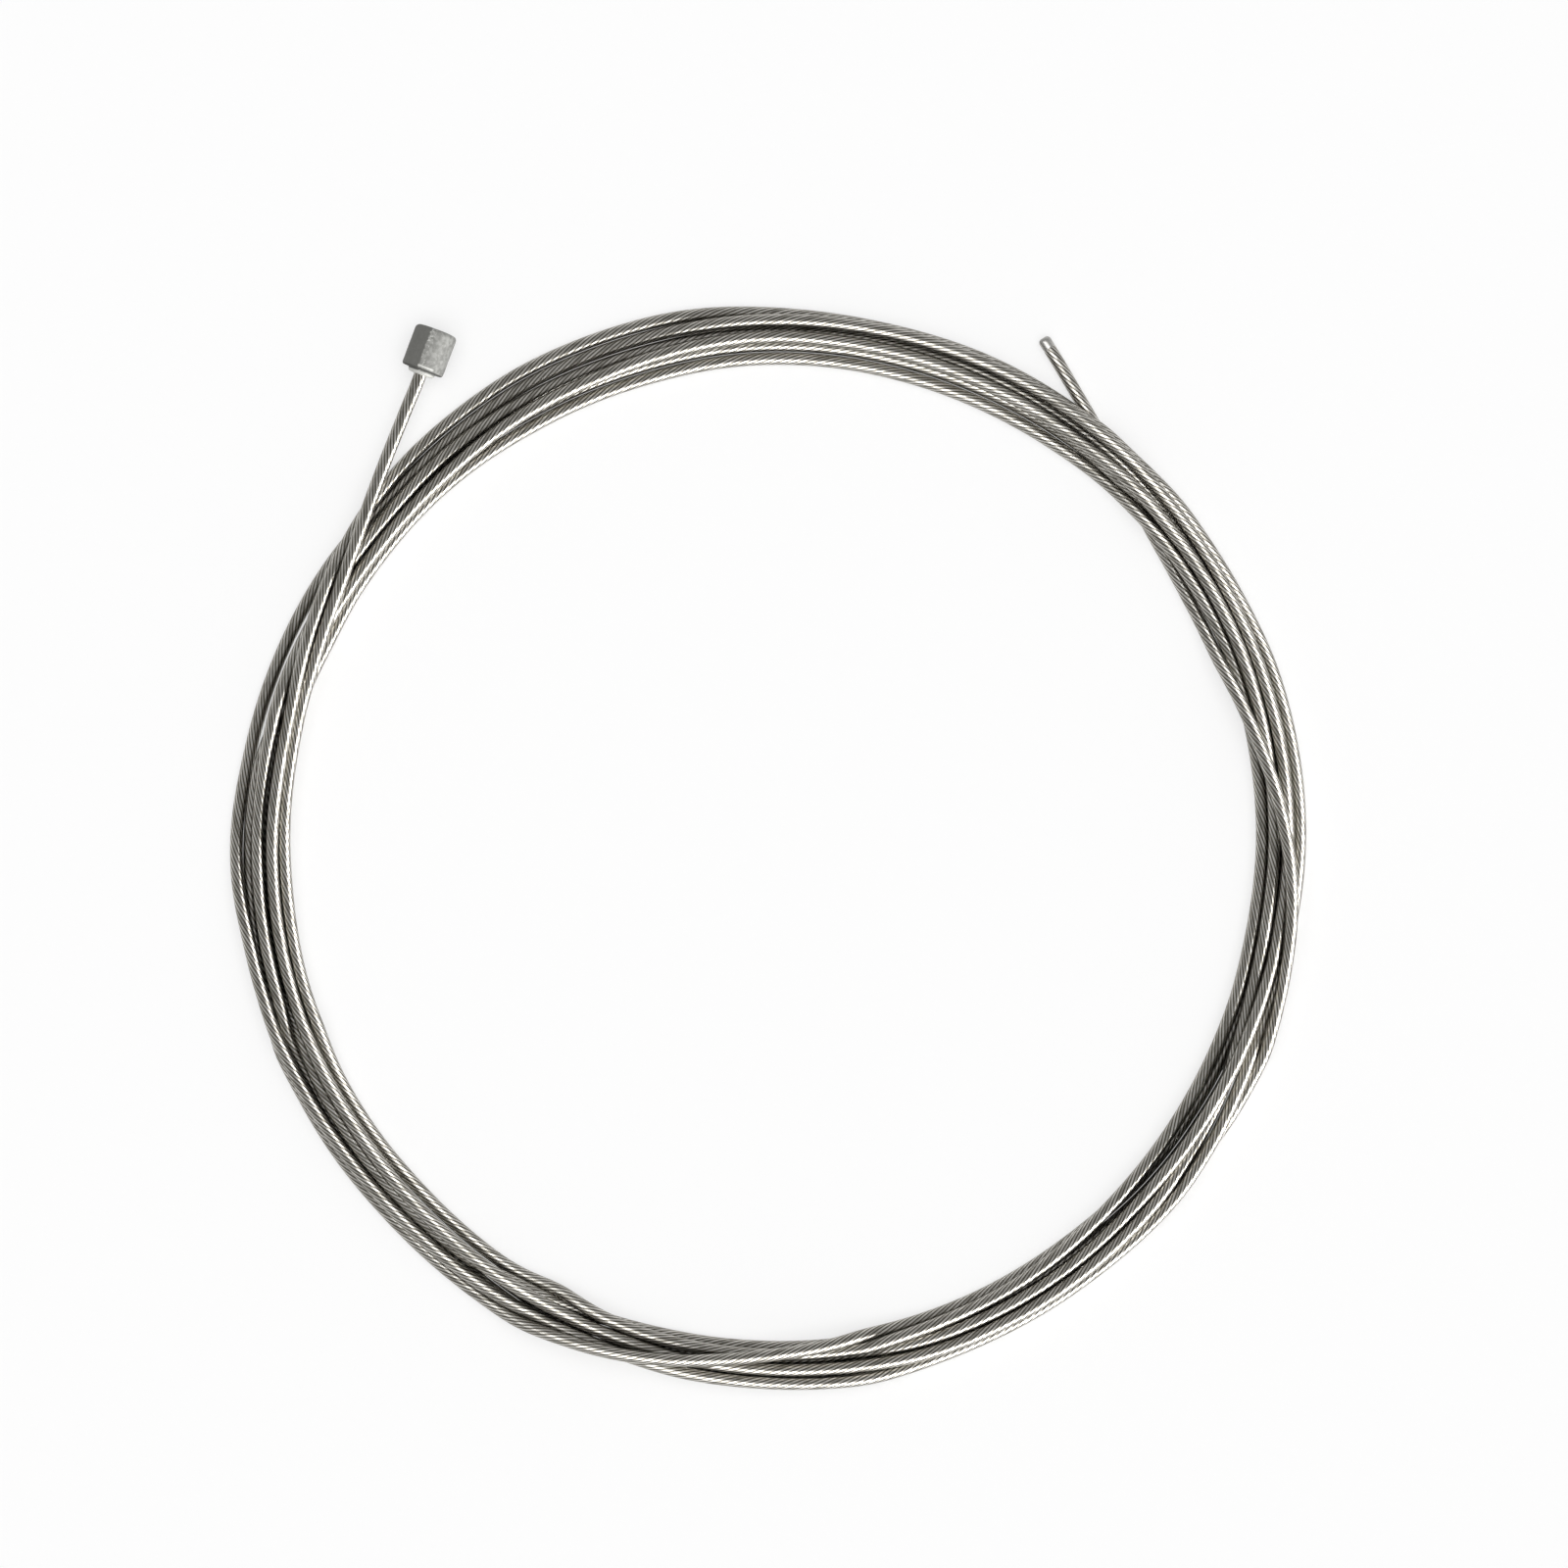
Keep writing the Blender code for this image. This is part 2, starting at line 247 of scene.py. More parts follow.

# Cast zinc: colours, some of them painted light and painted shade, and the soft edges of each painted
# mark in millimetres, along the head from the seat or across it from the parting line
# The dark half is painted shade and the pale half painted light; their mottles are the cast skin
ZINC_SHADED_HALF = (0.13, 0.13, 0.12, 1.0)
ZINC_SHADED_HALF_MOTTLE = (0.18, 0.18, 0.168, 1.0)
ZINC_LIT_HALF = (0.23, 0.23, 0.215, 1.0)
ZINC_LIT_HALF_MOTTLE = (0.345, 0.345, 0.327, 1.0)
# A speckled painted highlight along the lit half's edge at the parting line
ZINC_EDGE_HIGHLIGHT = (0.62, 0.62, 0.59, 1.0)
# A painted highlight on the rounded rim at the seat, on the lit side
ZINC_SEAT_HIGHLIGHT = (0.64, 0.64, 0.61, 1.0)
# A painted shade line round the rim at the seat
ZINC_RIM_SHADE = (0.06, 0.06, 0.054, 1.0)
# Painted light on the collar's cone
ZINC_COLLAR_LIGHT = (0.66, 0.66, 0.63, 1.0)
LIT_HALF_ACROSS = (-0.06, 0.10)
LIT_HALF_WANDER = 0.35
HIGHLIGHT_ACROSS = (0.15, 0.9)
SEAT_HIGHLIGHT_ALONG = (-0.44, -0.38, -0.26, -0.20)
SEAT_HIGHLIGHT_ACROSS = (-0.05, 0.05, 1.30, 1.50)
RIM_SHADE_ALONG = (-0.16, -0.10, 0.0, 0.08)
COLLAR_LIGHT_ALONG = (0.10, 0.16)
SEAT_HIGHLIGHT_SHARE = 0.9
RIM_SHADE_SHARE = 0.8
COLLAR_LIGHT_SHARE = 0.9
MOTTLE_SCALE = 2400.0
MOTTLE_DETAIL = 3.0
MOTTLE_ROUGHNESS = 0.6
SPECKLE_SCALE = 5200.0
LIT_HALF_MOTTLE = (0.35, 0.65)
HIGHLIGHT_SPECKLE = (0.56, 0.70)
ZINC_METALLIC = 0.25
ZINC_ROUGHNESS = 0.75
ROUGHER_BY_SPECKLE = 0.2
ZINC_BUMP = 0.5
ZINC_BUMP_DEPTH = 0.02 * MM
BUMP_BY_MOTTLE = 0.6
BUMP_BY_SPECKLE = 0.4

# White light, and the floor's own colour
WHITE = (1.0, 1.0, 1.0, 1.0)
FLOOR_COLOUR = (0.93, 0.93, 0.93, 1.0)


def deselect_all():
    """Leaves edit mode and clears the selection."""
    if bpy.context.object and bpy.context.object.mode != "OBJECT":
        bpy.ops.object.mode_set(mode="OBJECT")
    bpy.ops.object.select_all(action="DESELECT")


def camera_above():
    """The photograph's view: straight down, its middle over the photograph's middle."""
    half = PHOTO_SIDE / 2
    x = (half - PHOTO_COIL_MIDDLE[0]) / PIXELS_PER_MM * MM
    y = (PHOTO_COIL_MIDDLE[1] - half) / PIXELS_PER_MM * MM
    view_width = PHOTO_SIDE / PIXELS_PER_MM * MM
    data = bpy.data.cameras.new("camera")
    data.sensor_width = SENSOR_WIDTH
    data.lens = SENSOR_WIDTH * CAMERA_DISTANCE / view_width
    data.clip_start = CAMERA_NEAR
    data.clip_end = CAMERA_FAR
    camera = bpy.data.objects.new("camera", data)
    camera.location = (x, y, UPPER_TURNS_HEIGHT + CAMERA_DISTANCE)
    bpy.context.collection.objects.link(camera)
    bpy.context.scene.camera = camera


def smooth(values, sigma):
    """Gaussian smoothing that keeps both ends where they are."""
    reach = int(math.ceil(3 * sigma))
    kernel = np.exp(-0.5 * (np.arange(-reach, reach + 1) / sigma) ** 2)
    kernel /= kernel.sum()
    before = 2 * values[0] - values[1:reach + 1][::-1]
    after = 2 * values[-1] - values[-reach - 1:-1][::-1]
    return np.convolve(np.concatenate([before, values, after]), kernel, mode="valid")


def wound_stations():
    """All places of the wire in order: unrolled degrees, distance from the middle, rank."""
    stations = [(HEAD_SEAT_DEGREES, COIL_OUTER + HEAD_SEAT_CLEAR, HEAD_LEAD_RANK)]
    for degrees, clear in HEAD_LEAD:
        stations.append((degrees, COIL_OUTER + clear, HEAD_LEAD_RANK))
    for turn, places in enumerate(TURNS):
        for degrees, millimetres, rank in places:
            stations.append((degrees + 360 * turn, millimetres * MM, rank))
    last = len(TURNS) - 1
    for degrees, clear in TIP_LEAD:
        stations.append((degrees + 360 * last, COIL_OUTER + clear, TIP_LEAD_RANK))
    return np.array(stations).T


def settle_turns():
    """Lets the turns sink onto each other, and pushes apart those that meet."""
    degrees, distance, rank = wound_stations()
    at = np.arange(degrees[0], degrees[-1], DEGREE_STEP)
    wanted = smooth(np.interp(at, degrees, distance), PLACE_SMOOTHING)
    rank = np.interp(at, degrees, rank)
    free_end = at > at[-1] - FREE_END_DEGREES
    lap = int(360 / DEGREE_STEP)
    height = np.zeros(len(at))
    for first in range(lap):
        same = np.arange(first, len(at), lap)
        order = same[np.argsort(rank[same])]
        height[order] = WIRE_RADIUS + SETTLE_START_STEP * np.arange(len(order))
    height = smooth(height, START_SMOOTHING)
    across = wanted.copy()
    hold = smooth(np.where((rank >= SEEN_RANK) | free_end, HOLD_SEEN, HOLD_HIDDEN), PLACE_SMOOTHING)
    for settle_round in range(SETTLE_ROUNDS):
        share = settle_round / SETTLE_ROUNDS
        stiff = SETTLE_STIFF_FIRST * (SETTLE_STIFF_LAST / SETTLE_STIFF_FIRST) ** share
        height -= SETTLE_SINK
        across += (wanted - across) * hold
        height += (smooth(height, stiff) - height) * SETTLE_STIFF_SHARE
        across += (smooth(across, stiff) - across) * SETTLE_STIFF_SHARE
        for _ in range(SETTLE_PUSHES):
            push_apart(across, height, lap)
        height[:HELD_AT_HEAD] = HEAD_RADIUS
        across[:HELD_AT_HEAD] = wanted[:HELD_AT_HEAD]
        height[-HELD_AT_TIP:] = WIRE_RADIUS
    across = smooth(across, END_SMOOTHING)
    height = np.maximum(smooth(height, END_SMOOTHING), WIRE_RADIUS)
    angle = np.radians(at)
    return np.stack([across * np.cos(angle), across * np.sin(angle), height], axis=1)


def push_apart(across, height, lap):
    """Moves turns that lie nearer than a diameter apart, and keeps them on the floor."""
    for shift in range(lap, len(across), lap):
        aside = across[shift:] - across[:-shift]
        above = height[shift:] - height[:-shift]
        gap = np.hypot(aside, above) + NEVER_ZERO
        push = np.clip(WIRE_DIAMETER + SETTLE_CLEAR - gap, 0.0, None) / (2 * gap)
        across[shift:] += push * aside
        across[:-shift] -= push * aside
        height[shift:] += push * above
        height[:-shift] -= push * above
    np.maximum(height, WIRE_RADIUS, out=height)


def seat_middle():
    """The middle of the head's seat face, where the wire leaves it."""
    angle = math.radians(HEAD_SEAT_DEGREES)
    reach = COIL_OUTER + HEAD_SEAT_CLEAR
    return Vector((reach * math.cos(angle), reach * math.sin(angle), HEAD_RADIUS))


def wire_heading():
    """The way the wire leaves the head."""
    return Vector((math.cos(HEAD_HEADING), math.sin(HEAD_HEADING), 0.0))


def head_place():
    """The head's own frame: +Z the way the wire leaves, +Y up."""
    up = Vector((0.0, 0.0, 1.0))
    heading = wire_heading()
    turn = Matrix((up.cross(heading), up, heading)).transposed()
    return Matrix.Translation(seat_middle()) @ turn.to_4x4()


def wire_route():
    """Even rings along the settled wire, from inside the head to the rounded end."""
    seat = seat_middle()
    heading = wire_heading()
    settled = settle_turns()
    inside = [np.array(seat - heading * depth) for depth in INSIDE_HEAD]
    straight = [np.array(seat + heading * reach) for reach in STRAIGHT_START]
    places = np.array(inside + straight + list(settled[len(STRAIGHT_START):]))
    for axis in range(2):
        places[:, axis] = smooth(places[:, axis], ROUTE_SMOOTHING)
    fine = np.arange(0, len(places) - 1, CURVE_STEP)
    curve = np.stack([cubic(places[:, axis], fine) for axis in range(3)], axis=1)
    reach = np.concatenate([[0.0], np.cumsum(np.linalg.norm(np.diff(curve, axis=0), axis=1))])
    bead_from = reach[-1] - BEAD_LENGTH - BEAD_RING_STEP
    bead_rings = np.arange(bead_from, reach[-1], BEAD_RING_STEP)
    even_rings = np.linspace(0.0, bead_from, RINGS - len(bead_rings), endpoint=False)
    along = np.concatenate([even_rings, bead_rings])
    rings = np.stack([np.interp(along, reach, curve[:, axis]) for axis in range(3)], axis=1)
    return rings, along, reach[-1]


def cubic(values, at):
    """Catmull-Rom through evenly spaced values."""
    ends = np.concatenate([[2 * values[0] - values[1]], values, [2 * values[-1] - values[-2]]])
    slot = np.minimum(at.astype(int), len(values) - 2)
    share = at - slot
    before, start, end, after = (ends[slot + shift] for shift in range(4))
    square = (2 * before - 5 * start + 4 * end - after) * share ** 2
    cube = (3 * start - before - 3 * end + after) * share ** 3
    return 0.5 * (2 * start + (end - before) * share + (square + cube))


def ring_directions(rings):
    """For each ring two directions across the wire that don't turn about it."""
    forward = np.gradient(rings, axis=0)
    forward /= np.linalg.norm(forward, axis=1)[:, None]
    side = np.cross(forward[0], (0.0, 0.0, 1.0))
    sides = []
    for way in forward:
        side = side - way * np.dot(side, way)
        side = side / np.linalg.norm(side)
        sides.append(side)
    sides = np.array(sides)
    return sides, np.cross(forward, sides)


def bead_radius(before_end):
    """Radius of the fused end at a distance before its very end."""
    share = before_end / BEAD_LENGTH
    swell = np.clip((1.0 - share) * BEAD_SWELL, 0.0, 1.0)
    neck = BEAD_NECK_RADIUS + (BEAD_RADIUS - BEAD_NECK_RADIUS) * swell
    to_nose = 1.0 - np.clip(before_end / BEAD_NOSE, 0.0, 1.0)
    rounding = np.sqrt(np.clip(1.0 - to_nose ** 2, 0.0, 1.0))
    return neck * (BEAD_TIP_SHARE + (1.0 - BEAD_TIP_SHARE) * rounding)


def stranded_wire():
    """The whole wire as one smooth tube with a fused bead at its free end, and the path it follows."""
    rings, along, total = wire_route()
    side, upward = ring_directions(rings)
    around = np.arange(STRAND_SIDES)
    angle = 2 * math.pi * around / STRAND_SIDES
    before_end = total - along
    fused = np.clip((BEAD_LENGTH - before_end) / (2 * BEAD_RING_STEP), 0.0, 1.0)
    radius = STRAND_RADIUS * (1 - fused) + bead_radius(before_end) * fused
    across = np.cos(angle)[None, :, None] * side[:, None, :]
    across = across + np.sin(angle)[None, :, None] * upward[:, None, :]
    points = rings[:, None, :] + radius[:, None, None] * across
    after = np.roll(around, -1)
    base = (np.arange(RINGS - 1) * STRAND_SIDES)[:, None]
    ahead = base + STRAND_SIDES
    quads = np.stack([base + around, base + after, ahead + after, ahead + around], axis=2)
    faces = quads.reshape(-1, 4).tolist()
    faces.append(around[::-1].tolist())
    faces.append((around + (RINGS - 1) * STRAND_SIDES).tolist())
    mesh = bpy.data.meshes.new("stranded_wire")
    mesh.from_pydata(points.reshape(-1, 3).tolist(), [], faces)
    mesh.update()
    wire = bpy.data.objects.new("stranded_wire", mesh)
    bpy.context.collection.objects.link(wire)

    # The pattern's own map: U counts outer wires round the strand, V counts lays along it
    layer = mesh.uv_layers.new(name="strand")
    count = np.arange(STRAND_SIDES + 1) * OUTER_WIRES / STRAND_SIDES
    lay = along / LAY_LENGTH
    ring = np.arange(RINGS - 1)[:, None]
    grid = np.zeros((RINGS - 1, STRAND_SIDES, 4, 2))
    grid[..., 0] = np.stack([count[around], count[around + 1], count[around + 1], count[around]], axis=1)
    grid[..., 1] = np.stack([lay[ring], lay[ring], lay[ring + 1], lay[ring + 1]], axis=2)
    ends = np.zeros((2 * STRAND_SIDES, 2))
    ends[STRAND_SIDES:, 1] = lay[-1]
    layer.data.foreach_set("uv", np.concatenate([grid.reshape(-1, 2), ends]).ravel())
    melt = mesh.attributes.new("fused", "FLOAT", "POINT")
    melt.data.foreach_set("value", np.repeat(fused, STRAND_SIDES))
    mesh.shade_smooth()
    mesh.set_sharp_from_angle(angle=math.radians(WIRE_SHARP_DEGREES))
    return wire, rings


def cast_head():
    """The barrel with rounded ends, a collar where the wire enters and the mould's parting flash."""
    deselect_all()
    bpy.ops.mesh.primitive_cylinder_add(
        vertices=HEAD_SIDES, radius=HEAD_RADIUS, depth=HEAD_LENGTH, end_fill_type="NGON",
        location=(0.0, 0.0, -HEAD_LENGTH / 2))
    head = bpy.context.object
    head.name = "cast_head"
    bpy.ops.object.transform_apply(location=True, rotation=True, scale=True)
    round_rim(head, 0.0, SEAT_ROUND, SEAT_ROUND_STEPS)
    round_rim(head, -HEAD_LENGTH, FAR_ROUND, FAR_ROUND_STEPS)
    wire_collar(head)
    domed_end(head)
    parting_flash(head)
    ring_cuts(head)
    cast_lumps(head)
    bpy.ops.object.shade_smooth_by_angle(angle=math.radians(HEAD_SHARP_DEGREES))
    head.matrix_world = head_place()
    bpy.ops.object.transform_apply(location=True, rotation=True, scale=True)
    return head


def pick(piece, edges=None, faces=None):
    """Selects, in edit mode, the edges or faces that a test on them picks."""
    shape = bmesh.from_edit_mesh(piece.data)
    for part in (shape.verts, shape.edges, shape.faces):
        for element in part:
            element.select = False
    bpy.context.tool_settings.mesh_select_mode = (False, edges is not None, faces is not None)
    for element in shape.edges if edges else shape.faces:
        if (edges or faces)(element):
            element.select_set(True)
    shape.select_flush_mode()
    bmesh.update_edit_mesh(piece.data)


def at_height(element, height):
    """Whether all corners of an edge or a face lie at one height."""
    return all(abs(corner.co.z - height) < HEIGHT_TOLERANCE for corner in element.verts)


def is_end_face(face, height):
    """Whether a face is the round one that closes the barrel at a height."""
    return at_height(face, height) and len(face.verts) > MOST_SIDE_CORNERS


def round_rim(head, height, width, steps):
    """Rounds the rim of the barrel at one end."""
    bpy.ops.object.mode_set(mode="EDIT")
    pick(head, edges=lambda edge: at_height(edge, height))
    bpy.ops.mesh.bevel(offset=width, offset_type="OFFSET", segments=steps, profile=0.5, affect="EDGES")
    bpy.ops.object.mode_set(mode="OBJECT")


def wire_collar(head):
    """A low cone of metal round the wire on the seat face."""
    bpy.ops.object.mode_set(mode="EDIT")
    pick(head, faces=lambda face: is_end_face(face, 0.0))
    bpy.ops.mesh.inset(thickness=HEAD_RADIUS - SEAT_ROUND - COLLAR_BASE_RADIUS)
    radius = COLLAR_BASE_RADIUS
    for wider, higher in COLLAR_STEPS:
        bpy.ops.mesh.extrude_region_move(TRANSFORM_OT_translate={"value": (0.0, 0.0, higher)})
        grow = (radius + wider) / radius
        bpy.ops.transform.resize(value=(grow, grow, 1.0))
        radius += wider
    bpy.ops.object.mode_set(mode="OBJECT")


def domed_end(head):
    """The far end swells a little towards its middle."""
    bpy.ops.object.mode_set(mode="EDIT")
    pick(head, faces=lambda face: is_end_face(face, -HEAD_LENGTH))
    for inward, outward in DOME_STEPS:
        bpy.ops.mesh.inset(thickness=inward)
        bpy.ops.transform.translate(value=(0.0, 0.0, -outward))
    bpy.ops.object.mode_set(mode="OBJECT")


def parting_flash(head):
    """A thin fin along both sides where the mould's halves met."""
    bpy.ops.object.mode_set(mode="EDIT")
    ways = [PARTING_TURN + math.pi / 2, PARTING_TURN - math.pi / 2]

    def on_parting(face):
        middle = face.calc_center_median()
        angle = math.atan2(middle.y, middle.x)
        near = min(abs(math.remainder(angle - way, 2 * math.pi)) for way in ways)
        return abs(face.normal.z) < SIDEWAYS_LIMIT and near < FLASH_HALF_WIDTH

    pick(head, faces=on_parting)
    bpy.ops.mesh.extrude_region_shrink_fatten(TRANSFORM_OT_shrink_fatten={"value": FLASH_HEIGHT})
    bpy.ops.object.mode_set(mode="OBJECT")


def ring_cuts(head):
    """Cuts the barrel's long faces across, so that the cast surface can wander."""
    bpy.ops.object.mode_set(mode="EDIT")
    pick(head, edges=lambda edge: abs(edge.verts[0].co.z - edge.verts[1].co.z) > LONG_EDGE)
    bpy.ops.mesh.subdivide(number_cuts=RING_CUTS)
    bpy.ops.object.mode_set(mode="OBJECT")


def cast_lumps(head):
    """The casting's slightly lumpy skin, coarse and fine."""
    for name, size, depth in LUMPS:
        grain = bpy.data.textures.new("casting_" + name, "CLOUDS")
        grain.noise_scale = size
        grain.noise_depth = LUMP_DETAIL
        lumps = head.modifiers.new(name, "DISPLACE")
        lumps.texture = grain
        lumps.texture_coords = "LOCAL"
        lumps.strength = depth
        lumps.mid_level = 0.5
        bpy.ops.object.modifier_apply(modifier=name)


class Value:
    """A number that varies over a surface. Arithmetic on it adds Math nodes to its finish."""

    def __init__(self, finish, socket):
        self.finish = finish
        self.socket = socket

    def math(self, operation, *others):
        """Any operation of the Math node on this value and the others."""
        sockets = dict(enumerate((self,) + others))
        return self.finish.node("ShaderNodeMath", {"operation": operation}, sockets)

    def __add__(self, other):
        return self.math("ADD", other)

    __radd__ = __add__

    def __sub__(self, other):
        return self.math("SUBTRACT", other)

    def __rsub__(self, other):
        return self.finish.node("ShaderNodeMath", {"operation": "SUBTRACT"}, {0: other, 1: self})

    def __mul__(self, other):
        return self.math("MULTIPLY", other)

    __rmul__ = __mul__

    def __truediv__(self, other):
        return self.math("DIVIDE", other)

    def between(self, low, high):
        """0 below low and 1 above high, with a soft way between them."""
        sockets = {"Value": self, "From Min": low, "From Max": high}
        return self.finish.node("ShaderNodeMapRange", {"interpolation_type": "SMOOTHSTEP"}, sockets)

    def within(self, start, full, last, end):
        """1 from full to last and 0 before start or after end, with soft ways between them."""
        return self.between(start, full) * (1 - self.between(last, end))


class Finish:
    """A material under a plain name, and one method that adds any node to it."""

    def __init__(self, name):
        self.material = bpy.data.materials.new(name)
        self.material.use_nodes = True
        self.tree = self.material.node_tree
        self.shader = self.tree.nodes["Principled BSDF"]

    def feed(self, socket, value):
        """Links a varying value to a socket, or sets a constant on it."""
        if isinstance(value, Value):
            self.tree.links.new(value.socket, socket)
        else:
            socket.default_value = value

    def node(self, kind, settings=None, sockets=None, output=0):
        """Adds a node: its type, its settings, what its sockets get, and the output that is used."""
        node = self.tree.nodes.new(kind)
        for name, value in (settings or {}).items():
            setattr(node, name, value)
        for name, value in (sockets or {}).items():
            self.feed(node.inputs[name], value)
        return Value(self, node.outputs[output])

    def blend(self, share, one, other):
        """A colour between two colours."""
        sockets = {"Factor": share, 6: one, 7: other}
        return self.node("ShaderNodeMix", {"data_type": "RGBA"}, sockets, 2)

    def part(self, place, axis):
        """One of the three numbers of a place."""
        return self.node("ShaderNodeSeparateXYZ", {}, {0: place}, axis)

    def noise(self, place, scale, detail=2.0, roughness=0.5):
        """Soft random spots, from 0 to 1."""
        sockets = {"Vector": place, "Scale": scale, "Detail": detail, "Roughness": roughness}
        return self.node("ShaderNodeTexNoise", {}, sockets)

    def set(self, **values):
        """Feeds the shader's own sockets, by their names with _ for a space."""
        for name, value in values.items():
            self.feed(self.shader.inputs[name.replace("_", " ")], value)


def drawn_steel():
    """Bright drawn strand: flat outer wires with fine grooves, darkened with painted shade, that wind to
    the left between them.
    """
    steel = Finish("drawn_steel")
    place = steel.node("ShaderNodeUVMap", {"uv_map": "strand"})
    around = steel.part(place, 0)
    along = steel.part(place, 1)
    fused = steel.node("ShaderNodeAttribute", {"attribute_name": "fused"}, {}, 2)
    wires = around + along * OUTER_WIRES
    own = steel.node("ShaderNodeTexWhiteNoise", {"noise_dimensions": "1D"}, {
        "W": wires.math("FLOOR").math("FLOORED_MODULO", OUTER_WIRES)})
    groove = (wires.math("FRACT") - 0.5).math("ABSOLUTE") * 2
    depth = groove.between(*GROOVE_EDGES) * (1 - fused)
    grain_place = steel.node("ShaderNodeCombineXYZ", {}, {
        0: wires * GRAIN_PER_WIRE, 1: along * GRAIN_PER_LAY})
    grain = steel.noise(grain_place, GRAIN_SCALE, roughness=GRAIN_ROUGHNESS)
    body = steel.node("ShaderNodeTexCoord", {}, {}, "Object")
    patches = steel.noise(body, PATCH_SCALE)
    tone = TONE_MIDDLE + (own - 0.5) * TONE_BY_WIRE
    tone = tone + (grain - 0.5) * TONE_BY_GRAIN + (patches - 0.5) * TONE_BY_PATCH
    flat = steel.blend(tone.between(0.0, 1.0), STEEL_DULL, STEEL_BRIGHT)
    # Painted shade darkens the grooves between the outer wires
    strand = steel.blend(depth, flat, STEEL_GROOVE_SHADE)
    bead = steel.blend(steel.noise(body, MELT_SCALE), BEAD_DULL, BEAD_BRIGHT)
    steel.set(
        Base_Color=steel.blend(fused, strand, bead),
        Metallic=1.0,
        Roughness=STEEL_ROUGHNESS + grain * ROUGHER_BY_GRAIN - depth * SMOOTHER_IN_GROOVE,
        Anisotropic=1.0,
    )
    return steel.material


def cast_zinc():
    """Die-cast zinc: one side of the parting line smooth and dark, as painted shade away from the lamp;
    the other pale, as painted light towards it, and mottled.
    """
    zinc = Finish("die_cast_zinc")
    place = head_place()
    body = zinc.node("ShaderNodeTexCoord", {}, {}, "Object")
    local = zinc.node("ShaderNodeMapping", {"vector_type": "TEXTURE"}, {
        "Vector": body, "Location": place.translation, "Rotation": place.to_euler()})
    right = zinc.part(local, 0)
    up = zinc.part(local, 1)
    ahead = zinc.part(local, 2) / MM
    beyond = (right * math.cos(PARTING_TURN) + up * math.sin(PARTING_TURN)) / MM
    mottle = zinc.noise(local, MOTTLE_SCALE, MOTTLE_DETAIL, MOTTLE_ROUGHNESS)
    speckle = zinc.noise(local, SPECKLE_SCALE)

    # The two halves of the mould, painted shaded and lit, and a speckled painted highlight along the edge
    # of the lit one
    lit_side = (beyond + (mottle - 0.5) * LIT_HALF_WANDER).between(*LIT_HALF_ACROSS)
    dark = zinc.blend(mottle, ZINC_SHADED_HALF, ZINC_SHADED_HALF_MOTTLE)
    pale = zinc.blend(mottle.between(*LIT_HALF_MOTTLE), ZINC_LIT_HALF, ZINC_LIT_HALF_MOTTLE)
    edge_highlight = speckle.between(*HIGHLIGHT_SPECKLE) * (1 - beyond.between(*HIGHLIGHT_ACROSS)) * lit_side
    skin = zinc.blend(edge_highlight, zinc.blend(lit_side, dark, pale), ZINC_EDGE_HIGHLIGHT)

    # A painted highlight and a painted shade line at the seat's rim, and painted light on the collar
    seat_highlight = ahead.within(*SEAT_HIGHLIGHT_ALONG) * beyond.within(*SEAT_HIGHLIGHT_ACROSS)
    rim_shade = ahead.within(*RIM_SHADE_ALONG)
    # Painted light on the collar
    collar = ahead.between(*COLLAR_LIGHT_ALONG)
    skin = zinc.blend(seat_highlight * SEAT_HIGHLIGHT_SHARE, skin, ZINC_SEAT_HIGHLIGHT)
    skin = zinc.blend(rim_shade * RIM_SHADE_SHARE, skin, ZINC_RIM_SHADE)
    skin = zinc.blend(collar * COLLAR_LIGHT_SHARE, skin, ZINC_COLLAR_LIGHT)

    relief = mottle * BUMP_BY_MOTTLE + speckle * BUMP_BY_SPECKLE
    zinc.set(
        Base_Color=skin,
        Metallic=ZINC_METALLIC,
        Roughness=ZINC_ROUGHNESS + (speckle - 0.5) * ROUGHER_BY_SPECKLE,
        Normal=zinc.node("ShaderNodeBump", {}, {
            "Strength": ZINC_BUMP, "Distance": ZINC_BUMP_DEPTH, "Height": relief}),
    )
    return zinc.material


def pale_floor():
    """Pale matt floor that shows near white to the eye and in reflections, and keeps the shadow."""
    floor = Finish("pale_floor")
    floor.set(Base_Color=FLOOR_COLOUR, Roughness=1.0, Specular_IOR_Level=0.0)
    seen = floor.node("ShaderNodeLightPath", {}, {}, "Is Camera Ray")
    for ray in ("Is Glossy Ray", "Is Transmission Ray"):
        seen = seen.math("MAXIMUM", floor.node("ShaderNodeLightPath", {}, {}, ray))
    white = floor.node("ShaderNodeEmission", {}, {"Color": WHITE, "Strength": 1.0})
    lit = Value(floor, floor.shader.outputs[0])
    shown = floor.node("ShaderNodeMixShader", {}, {0: seen * FLOOR_WHITE_SHARE, 1: lit, 2: white})
    floor.feed(floor.tree.nodes["Material Output"].inputs["Surface"], shown)
    return floor.material


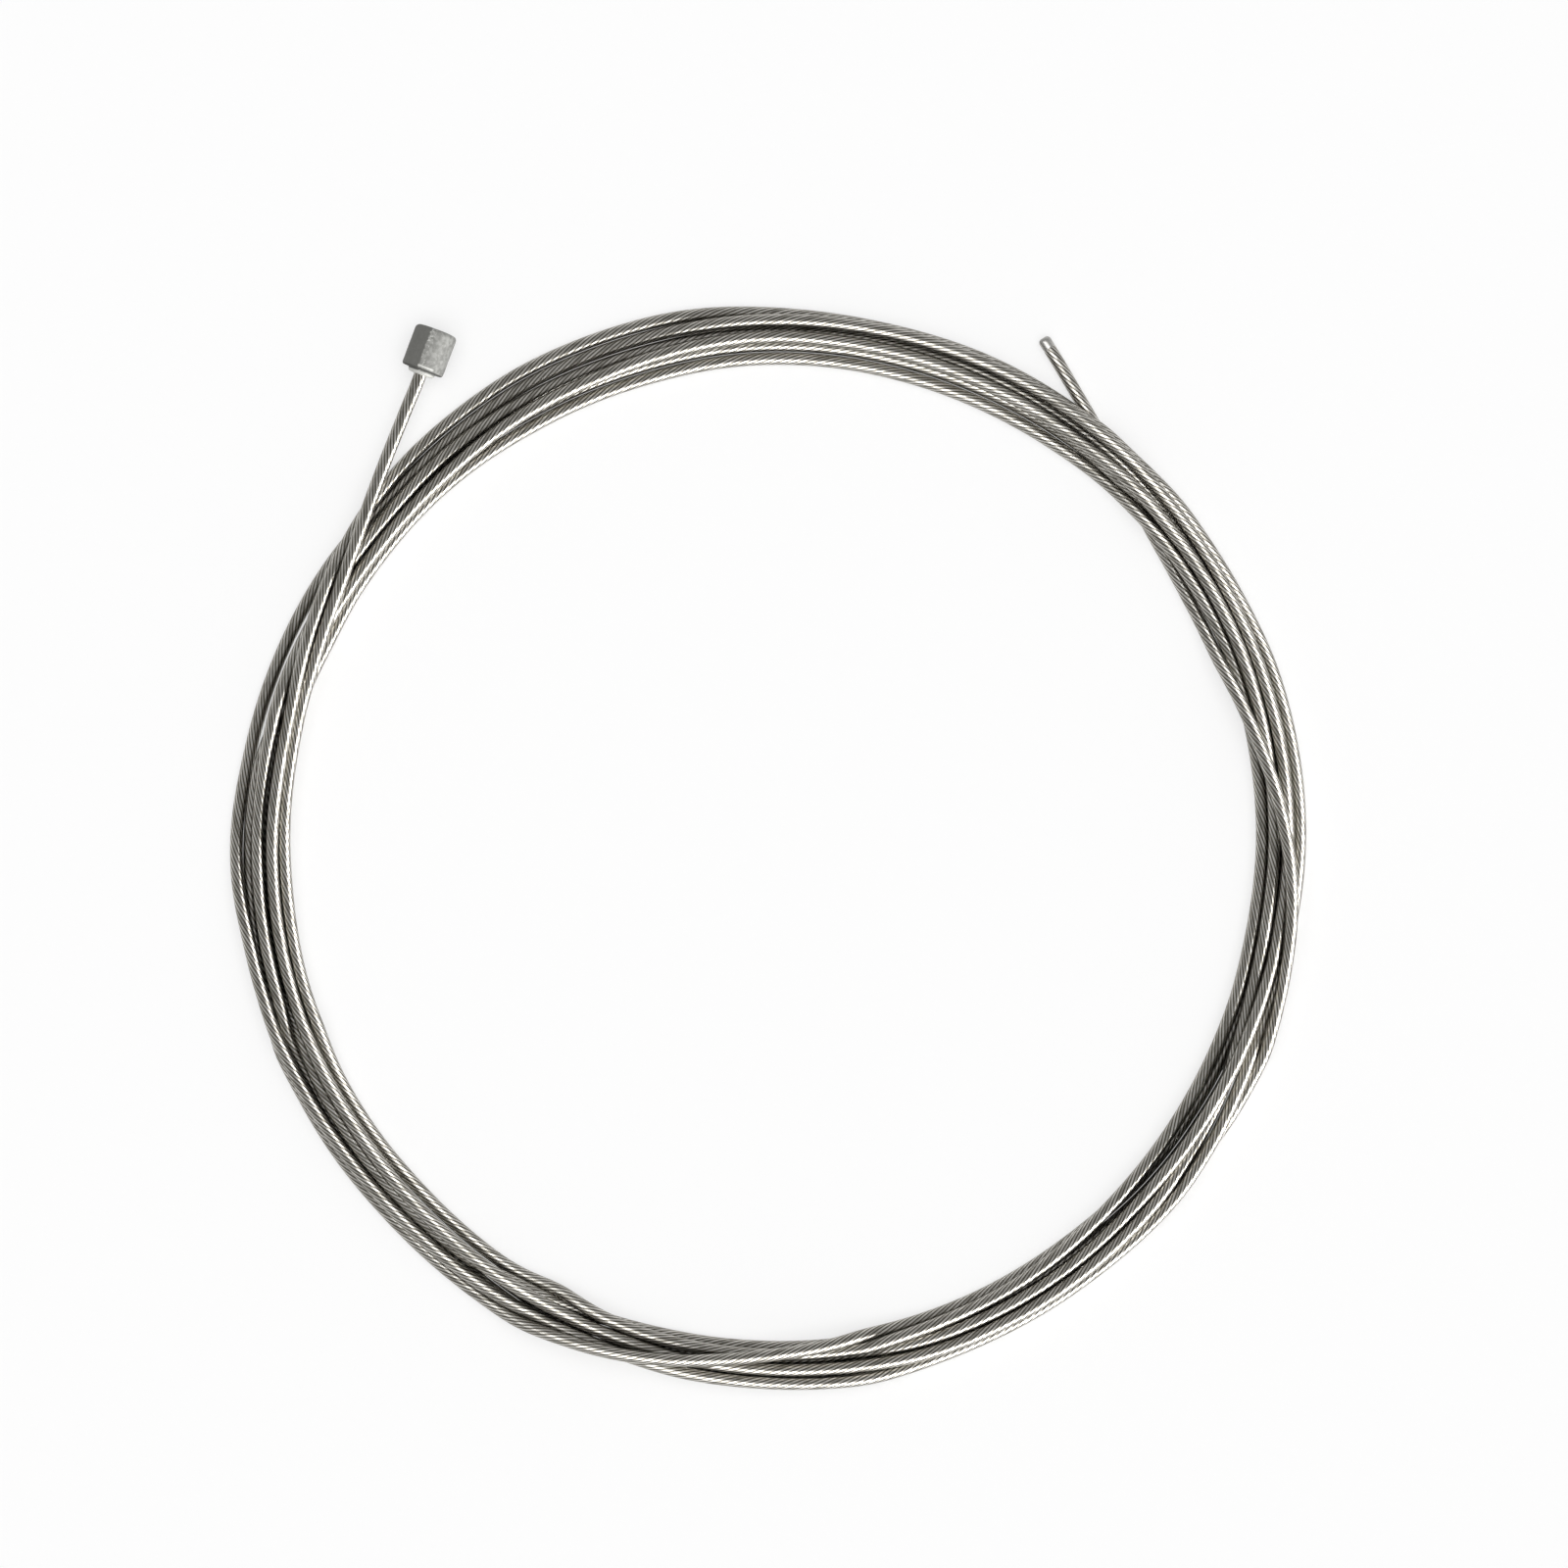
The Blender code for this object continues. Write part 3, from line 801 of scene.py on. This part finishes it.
def studio_floor():
    """A round floor whose rim curves up into a low wall."""
    deselect_all()
    bpy.ops.mesh.primitive_circle_add(vertices=FLOOR_SIDES, radius=FLOOR_RADIUS, fill_type="NGON")
    floor = bpy.context.object
    floor.name = "studio_floor"
    bpy.ops.object.mode_set(mode="EDIT")
    pick(floor, edges=lambda edge: True)
    length = COVE_RADIUS * math.pi / 2 / COVE_STEPS
    for step in range(COVE_STEPS):
        lean = (step + 0.5) / COVE_STEPS * math.pi / 2
        rise = length * math.sin(lean)
        reach = length * math.cos(lean)
        radius = FLOOR_RADIUS + COVE_RADIUS * math.sin(step / COVE_STEPS * math.pi / 2)
        grow = (radius + reach) / radius
        bpy.ops.mesh.extrude_edges_move(TRANSFORM_OT_translate={"value": (0.0, 0.0, rise)})
        bpy.ops.transform.resize(value=(grow, grow, 1.0))
    bpy.ops.mesh.select_all(action="SELECT")
    bpy.ops.mesh.normals_make_consistent(inside=True)
    bpy.ops.object.mode_set(mode="OBJECT")
    bpy.ops.object.shade_smooth_by_angle(angle=math.radians(COVE_SHARP_DEGREES))
    floor.data.materials.append(pale_floor())


def soft_lamp(name, azimuth, elevation, distance, width, height, power):
    """A large soft lamp that faces the coil from an azimuth and an elevation in degrees."""
    data = bpy.data.lights.new(name, "AREA")
    data.shape = "RECTANGLE"
    data.size = width
    data.size_y = height
    data.energy = power
    lamp = bpy.data.objects.new(name, data)
    turn = math.radians(azimuth)
    rise = math.radians(elevation)
    way = Vector((math.cos(turn) * math.cos(rise), math.sin(turn) * math.cos(rise), math.sin(rise)))
    lamp.location = way * distance
    lamp.rotation_euler = way.to_track_quat("Z", "Y").to_euler()
    bpy.context.collection.objects.link(lamp)
    return lamp


def studio_light():
    """A low lamp at the lower right of the photograph, a wide softbox above and an even room."""
    world = bpy.data.worlds.new("studio")
    world.use_nodes = True
    room = world.node_tree.nodes["Background"]
    room.inputs["Color"].default_value = WHITE
    room.inputs["Strength"].default_value = ROOM_LEVEL
    bpy.context.scene.world = world
    low_lamp = soft_lamp(
        "low_lamp", LOW_LAMP_AZIMUTH, LOW_LAMP_ELEVATION, LOW_LAMP_DISTANCE,
        LOW_LAMP_WIDTH, LOW_LAMP_HEIGHT, LOW_LAMP_POWER)
    low_lamp.visible_diffuse = False
    softbox = soft_lamp(
        "softbox", LOW_LAMP_AZIMUTH, SOFTBOX_ELEVATION, SOFTBOX_HEIGHT,
        SOFTBOX_SIDE, SOFTBOX_SIDE, SOFTBOX_POWER)
    softbox.visible_glossy = False


camera_above()

wire, wire_path = stranded_wire()
wire.data.materials.append(drawn_steel())
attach(wire, "root")
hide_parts("cable_coil", "cable_head_lead", "cable_tip_lead")

head = cast_head()
head.data.materials.append(cast_zinc())
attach(head, "root")
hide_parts("cable_head")

studio_floor()
studio_light()
bpy.context.scene.view_settings.view_transform = "Standard"
